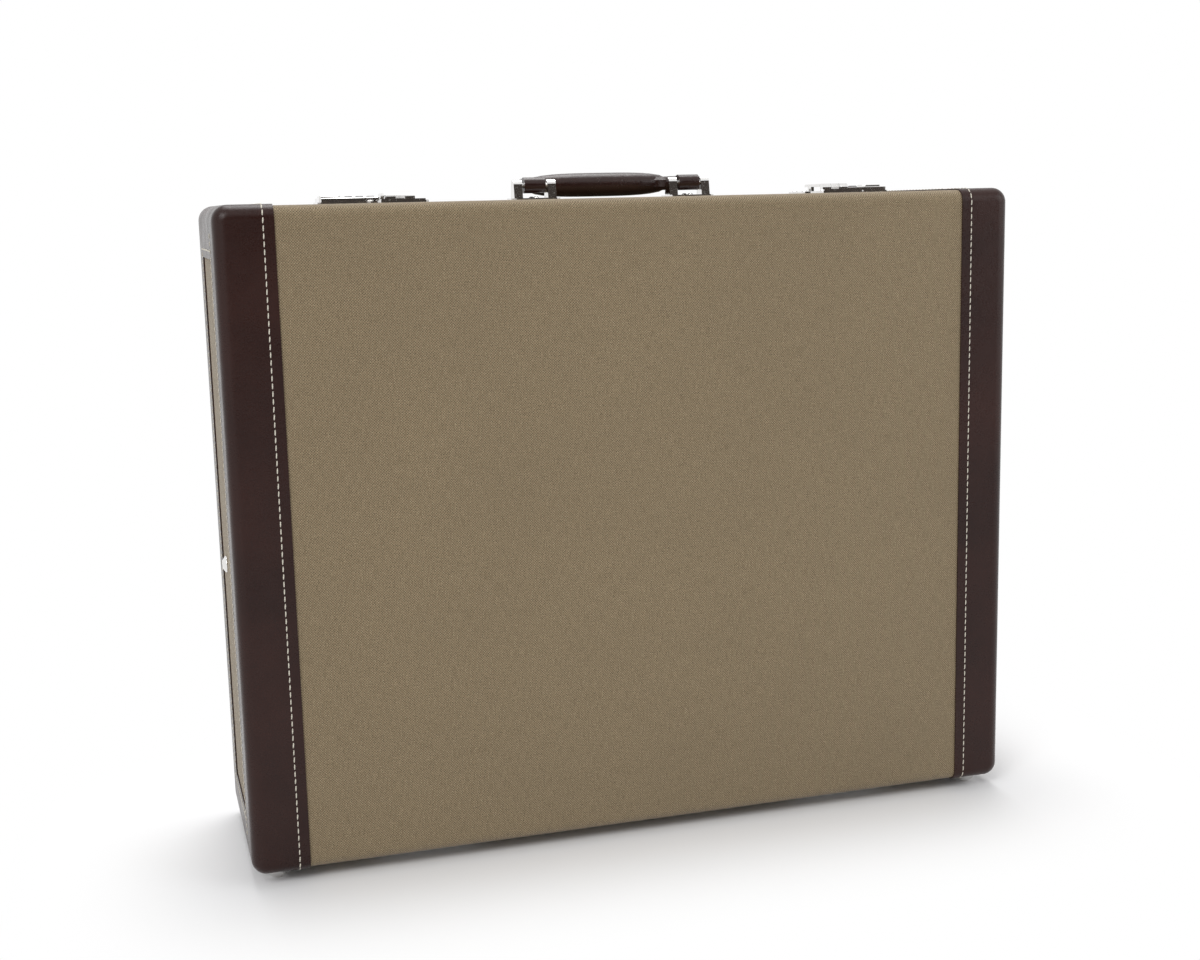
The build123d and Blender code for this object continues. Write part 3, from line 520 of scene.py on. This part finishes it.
def soften(node_name, name, body, voxel):
    """A foam block with eased edges and a hand-cut surface, from the node's own shape."""
    source = nodes[node_name]
    piece = bpy.data.objects.new(name, source.data.copy())
    scene.collection.objects.link(piece)
    piece.matrix_world = source.matrix_world.copy()
    remesh = piece.modifiers.new("even", "REMESH")
    remesh.mode = "VOXEL"
    remesh.voxel_size = voxel
    ease = piece.modifiers.new("ease", "SMOOTH")
    ease.factor = 0.5
    ease.iterations = 2
    depsgraph = bpy.context.evaluated_depsgraph_get()
    shaped = bpy.data.meshes.new_from_object(piece.evaluated_get(depsgraph))
    piece.modifiers.clear()
    piece.data = shaped
    knife_depth = 0.15 * MM
    for vertex in shaped.vertices:
        x, y, z = vertex.co
        short_wave = math.sin(x * 310 + 1.7) * math.sin(z * 270 + 0.6)
        long_wave = 0.5 * math.sin(x * 150) * math.sin(z * 190)
        ripple = short_wave + long_wave
        vertex.co = vertex.co - vertex.normal * (knife_depth * (1 + 0.6 * ripple))
    for face in shaped.polygons:
        face.use_smooth = True
    shaped.materials.clear()
    shaped.materials.append(foam)
    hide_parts(node_name)
    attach(piece, body)


def make_lid_foam():
    """Egg-crate foam: a flat back and rows of rounded peaks."""
    low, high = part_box("lid_foam")
    pitch = 14.0 * MM
    per_peak = 6
    valley_share = 0.45
    border_steepness = 60
    peak_fullness = 0.8
    columns = round((high[0] - low[0]) / pitch) * per_peak
    rows = round((high[2] - low[2]) / pitch) * per_peak
    valley = low[1] + valley_share * (high[1] - low[1])
    peak = high[1]
    verts, faces = [], []
    for row in range(rows + 1):
        for column in range(columns + 1):
            u = column / columns
            v = row / rows
            x = low[0] + (high[0] - low[0]) * u
            z = low[2] + (high[2] - low[2]) * v
            wave_u = 1 - math.cos(2 * math.pi * column / per_peak)
            wave_v = 1 - math.cos(2 * math.pi * row / per_peak)
            wave = wave_u * wave_v / 4
            border = min(u, 1 - u, v, 1 - v)
            rise = min(1.0, border * border_steepness)
            verts.append((x, valley + (peak - valley) * wave ** peak_fullness * rise, z))
    for row in range(rows):
        for column in range(columns):
            a = row * (columns + 1) + column
            faces.append((a, a + 1, a + columns + 2, a + columns + 1))
    front = len(verts)
    rim = list(range(columns + 1))
    rim += [row * (columns + 1) + columns for row in range(1, rows + 1)]
    rim += [rows * (columns + 1) + column for column in reversed(range(columns))]
    rim += [row * (columns + 1) for row in reversed(range(1, rows))]
    for index in rim:
        x, y, z = verts[index]
        verts.append((x, low[1], z))
    count = len(rim)
    for index in range(count):
        after = (index + 1) % count
        faces.append((rim[index], rim[after], front + after, front + index))
    faces.append(tuple(front + index for index in range(count)))
    piece = new_piece("lid_egg_foam", verts, faces, foam, "lid")
    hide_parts("lid_foam")


soften("base_foam", "base_cut_foam", "base", 3.5 * MM)
soften("base_foam_pad", "base_foam_layer", "base", 5.0 * MM)
make_lid_foam()


def spun(verts, faces, centre, axis, profile, sides=20):
    """A turned form: profile is (radius, height) pairs along the axis."""
    axis = axis.normalized()
    across = axis.orthogonal().normalized()
    other = axis.cross(across)
    first = len(verts)
    for radius, height in profile:
        for index in range(sides):
            turn = 2 * math.pi * index / sides
            verts.append(centre + axis * height + (across * math.cos(turn) + other * math.sin(turn)) * radius)
    for row in range(len(profile) - 1):
        for index in range(sides):
            a = first + row * sides + index
            b = first + row * sides + (index + 1) % sides
            faces.append((a, b, b + sides, a + sides))
    faces.append(tuple(first + index for index in range(sides)))
    last = first + (len(profile) - 1) * sides
    faces.append(tuple(last + index for index in reversed(range(sides))))


# A countersunk screw head with a socket, as (radius, height) in millimetres
screw_outline = ((1.9, 0.0), (1.9, 0.12), (1.6, 0.38), (1.1, 0.52), (0.9, 0.52), (0.75, 0.2), (0.3, 0.2))
screw_profile = [(radius * MM, height * MM) for radius, height in screw_outline]


def make_screws():
    """Hinge screws under the case: three in each leaf."""
    down = Vector((0, 0, -1))
    half_leaf = 30.0 * MM
    knuckle_drop = 3.8 * MM
    screw_inset = 6.0 * MM
    screw_pitch = 22.0 * MM
    for node_name, body in (("lid_hinge_leaves", "lid"), ("base_hinge_leaves", "base")):
        low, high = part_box(node_name)
        verts, faces = [], []
        y = low[1] + screw_inset if body == "lid" else high[1] - screw_inset
        for hand in (-1, 1):
            for offset in (-screw_pitch, 0, screw_pitch):
                centre = Vector((hand * (high[0] - half_leaf + offset), y, low[2] + knuckle_drop))
                spun(verts, faces, centre, down, screw_profile)
        new_piece("screws_" + body + "_hinge", verts, faces, nickel, body)


make_screws()


def digit_shapes(size):
    """One thin mesh for each number from 0 to 9, centred on its own origin."""
    shapes = []
    for digit in range(10):
        text = bpy.data.curves.new("digit", "FONT")
        text.body = str(digit)
        text.size = size
        text.align_x = "CENTER"
        text.align_y = "CENTER"
        text.extrude = 0.06 * MM
        text.resolution_u = 3
        holder = bpy.data.objects.new("holder", text)
        scene.collection.objects.link(holder)
        bpy.context.view_layer.update()
        ready = bpy.context.evaluated_depsgraph_get()
        shapes.append(bpy.data.meshes.new_from_object(holder.evaluated_get(ready)))
        bpy.data.objects.remove(holder)
    return shapes


def make_digits():
    """Plain numbers round each dial, one on every flat."""
    digit_size = 2.6 * MM
    digit_lift = 0.02 * MM
    shapes = digit_shapes(digit_size)
    flats = len(shapes)
    flat_share = math.cos(math.pi / flats)
    for side in ("left", "right"):
        for index in (1, 2, 3):
            name = "dial_%s_%d" % (side, index)
            low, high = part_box(name)
            centre = Vector([(a + b) / 2 for a, b in zip(low, high)])
            flat = (high[1] - low[1]) / 2 * flat_share
            merged = bmesh.new()
            for digit, shape in enumerate(shapes):
                placed = shape.copy()
                turn = Matrix.Rotation(2 * math.pi * (digit + 0.5) / flats, 4, "X")
                outward = Matrix.Translation((0, 0, flat + digit_lift))
                placed.transform(Matrix.Translation(centre) @ turn @ outward)
                merged.from_mesh(placed)
                bpy.data.meshes.remove(placed)
            mesh = bpy.data.meshes.new(name + "_numbers")
            merged.to_mesh(mesh)
            merged.free()
            mesh.materials.append(digit_white)
            piece = bpy.data.objects.new(name + "_numbers", mesh)
            scene.collection.objects.link(piece)
            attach(piece, name)


make_digits()


def solid_boxes(node_name):
    """The box of every separate solid in a node, in metres."""
    node = nodes[node_name]
    shape = bmesh.new()
    shape.from_mesh(node.data)
    shape.transform(node.matrix_world)
    bmesh.ops.remove_doubles(shape, verts=shape.verts, dist=0.001 * MM)
    boxes = []
    waiting = set(shape.verts)
    while waiting:
        island = [waiting.pop()]
        reached = list(island)
        while island:
            for edge in island.pop().link_edges:
                for vertex in edge.verts:
                    if vertex in waiting:
                        waiting.remove(vertex)
                        island.append(vertex)
                        reached.append(vertex)
        places = [vertex.co.copy() for vertex in reached]
        low = Vector([min(p[axis] for p in places) for axis in range(3)])
        high = Vector([max(p[axis] for p in places) for axis in range(3)])
        boxes.append((low, high))
    shape.free()
    return boxes


def dome_profile(radius, height, steps=6):
    """A quarter of a flattened circle, from the rim up to the crown."""
    turns = [math.pi / 2 * step / steps for step in range(steps + 1)]
    return [(max(radius * math.cos(turn), radius * 0.02), height * math.sin(turn)) for turn in turns]


def make_domes():
    """Polished domes over the rivet heads, and over the studs on the end walls."""
    up = Vector((0, 0, 1))
    head_height = 0.8 * MM
    stud_height = 2.5 * MM
    rivet_radius = 1.72 * MM
    rivet_rise = 0.86 * MM
    stud_radius = 4.9 * MM
    rivet_dome = dome_profile(rivet_radius, rivet_rise)
    for node_name, body in (("lock_rivets", "base"), ("bracket_rivets", "base"), ("hasp_rivets", "lid")):
        verts, faces = [], []
        for low, high in solid_boxes(node_name):
            middle = (low + high) / 2
            spun(verts, faces, Vector((middle.x, middle.y, high.z - head_height)), up, rivet_dome)
        new_piece("domes_" + node_name, verts, faces, chrome, body)
    verts, faces = [], []
    stud_dome = dome_profile(stud_radius, stud_height, 8)
    for low, high in solid_boxes("base_stay_pins"):
        middle = (low + high) / 2
        hand = 1 if middle.x > 0 else -1
        outer = high.x if hand > 0 else low.x
        centre = Vector((outer - hand * stud_height, middle.y, middle.z))
        spun(verts, faces, centre, Vector((hand, 0, 0)), stud_dome, 32)
    new_piece("domes_stay_studs", verts, faces, chrome, "base")


make_domes()


def make_marks():
    """A short red index line beside each dial, painted on the cover."""
    length, width, thick = 1.5 * MM, 0.5 * MM, 0.05 * MM
    from_front = 1.6 * MM
    for side in ("left", "right"):
        verts, faces = [], []
        cover_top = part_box("lock_cover_" + side)[1][2]
        for index in (1, 2, 3):
            low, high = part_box("dial_%s_%d" % (side, index))
            x = (low[0] + high[0]) / 2
            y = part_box("lock_cover_" + side)[0][1] + from_front
            first = len(verts)
            for z in (cover_top - thick, cover_top + thick):
                for step_x, step_y in ((-1, -1), (1, -1), (1, 1), (-1, 1)):
                    verts.append((x + step_x * width / 2, y + step_y * length / 2, z))
            faces.append(tuple(first + 4 + corner for corner in range(4)))
            for corner in range(4):
                after = (corner + 1) % 4
                faces.append((first + corner, first + after, first + 4 + after, first + 4 + corner))
            faces.append(tuple(first + corner for corner in reversed(range(4))))
        new_piece("index_marks_" + side, verts, faces, mark_red, "base", False)


make_marks()


def seen_plainly(tree):
    """One for rays that show a surface as it is: from the camera, a mirror or glass."""
    path = tree.nodes.new("ShaderNodeLightPath")
    total = path.outputs["Is Camera Ray"]
    for name in ("Is Glossy Ray", "Is Transmission Ray"):
        both = tree.nodes.new("ShaderNodeMath")
        both.operation = "MAXIMUM"
        tree.links.new(total, both.inputs[0])
        tree.links.new(path.outputs[name], both.inputs[1])
        total = both.outputs[0]
    return total


def make_floor():
    """A pale floor that keeps the shadow by the case and goes to plain white away from it."""
    mesh = bpy.data.meshes.new("floor")
    reach = 6.0
    corners = [(-reach, -reach, 0), (reach, -reach, 0), (reach, reach, 0), (-reach, reach, 0)]
    mesh.from_pydata(corners, [], [(0, 1, 2, 3)])
    floor = bpy.data.objects.new("floor", mesh)
    scene.collection.objects.link(floor)
    g = Graph("floor_paper")
    tone = g.noise(g.coords.outputs["Object"], 3.0, 3.0)
    paper = g.mix(tone, rgb(0.86, 0.86, 0.87), rgb(0.9, 0.9, 0.905))
    g.finish(paper, g.span(tone, 0.3, 0.7, 0.7, 0.8))
    x, y, _ = g.split(g.coords.outputs["Object"])
    beside = g.math("MAXIMUM", g.math("SUBTRACT", g.math("ABSOLUTE", x), end_x), 0.0)
    before = g.math("MAXIMUM", g.math("SUBTRACT", g.math("ABSOLUTE", y), rear_y), 0.0)
    squares = g.math("ADD", g.math("MULTIPLY", beside, beside), g.math("MULTIPLY", before, before))
    away = g.math("SQRT", squares)
    shadow_start, shadow_end = -0.004, 0.13
    fade = g.node("ShaderNodeMapRange", interpolation_type="SMOOTHSTEP")
    for socket, value in zip(fade.inputs, (away, shadow_start, shadow_end, 0.0, 1.0)):
        g.put(socket, value)
    share = g.math("MULTIPLY", fade.outputs[0], seen_plainly(g.tree))
    white = g.node("ShaderNodeEmission")
    white.inputs["Color"].default_value = rgb(1.0, 1.0, 1.0)
    white.inputs["Strength"].default_value = 1.0
    blend = g.node("ShaderNodeMixShader")
    g.put(blend.inputs[0], share)
    g.put(blend.inputs[1], g.bsdf.outputs[0])
    g.put(blend.inputs[2], white.outputs[0])
    g.put(g.tree.nodes["Material Output"].inputs[0], blend.outputs[0])
    mesh.materials.append(g.mat)


def make_room():
    """A dark wall behind the camera, so that polished metal and leather have something to show."""
    half, depth, low, high = 1.5, -2.1, 0.15, 1.5
    corners = [(-half, depth, low), (half, depth, low), (half, depth, high), (-half, depth, high)]
    mesh = bpy.data.meshes.new("dark_wall")
    mesh.from_pydata(corners, [], [(0, 1, 2, 3)])
    wall = bpy.data.objects.new("dark_wall", mesh)
    scene.collection.objects.link(wall)
    wall.visible_camera = False
    g = Graph("dark_cloth")
    fold = g.noise(g.coords.outputs["Object"], 4.0, 3.0)
    g.finish(g.mix(fold, rgb(0.02, 0.015, 0.012), rgb(0.05, 0.038, 0.03)), g.span(fold, 0.3, 0.7, 0.8, 0.95))
    mesh.materials.append(g.mat)


def make_world():
    """Soft white surroundings, and plain white behind the case."""
    world = bpy.data.worlds.new("studio")
    scene.world = world
    world.use_nodes = True
    tree = world.node_tree
    ambient = tree.nodes["Background"]
    ambient.inputs["Color"].default_value = rgb(1.0, 1.0, 1.0)
    ambient.inputs["Strength"].default_value = 0.55
    seen = tree.nodes.new("ShaderNodeBackground")
    seen.inputs["Color"].default_value = rgb(1.0, 1.0, 1.0)
    seen.inputs["Strength"].default_value = 1.0
    blend = tree.nodes.new("ShaderNodeMixShader")
    tree.links.new(seen_plainly(tree), blend.inputs[0])
    tree.links.new(ambient.outputs[0], blend.inputs[1])
    tree.links.new(seen.outputs[0], blend.inputs[2])
    tree.links.new(blend.outputs[0], tree.nodes["World Output"].inputs[0])


def make_lamps():
    """A large key from the front left, a fill and an overhead lamp."""
    aim = Vector((0, 0, 0.2))
    for name, place, size, power in (
        ("key", (-1.5, -1.9, 1.9), 1.3, 42.0),
        ("fill", (1.9, -1.5, 1.1), 1.4, 14.0),
        ("overhead", (0.1, 0.5, 1.9), 1.2, 22.0),
    ):
        lamp = bpy.data.lights.new(name, "AREA")
        lamp.size = size
        lamp.energy = power
        holder = bpy.data.objects.new(name, lamp)
        scene.collection.objects.link(holder)
        holder.location = place
        holder.rotation_euler = (aim - Vector(place)).to_track_quat("-Z", "Y").to_euler()


def make_camera():
    """The photograph's viewpoint, solved from the corners of the cloth panel."""
    yaw = math.radians(-16.755)
    pitch = math.radians(-9.681)
    roll = math.radians(-1.376)
    turn = Matrix.Rotation(yaw, 3, "Z") @ Matrix.Rotation(pitch, 3, "X")
    right = turn @ Vector((1, 0, 0))
    ahead = turn @ Vector((0, 1, 0))
    up = turn @ Vector((0, 0, 1))
    level_right = math.cos(roll) * right + math.sin(roll) * up
    level_up = -math.sin(roll) * right + math.cos(roll) * up
    pose = Matrix((level_right, level_up, -ahead)).transposed().to_4x4()
    pose.translation = Vector((-283.3, -915.4, 366.4)) * MM
    lens = bpy.data.cameras.new("camera")
    lens.sensor_width = 36.0
    lens.lens = 48.05
    lens.clip_start = 0.02
    camera = bpy.data.objects.new("camera", lens)
    scene.collection.objects.link(camera)
    camera.matrix_world = pose
    scene.camera = camera


make_floor()
make_room()
make_world()
make_lamps()
make_camera()
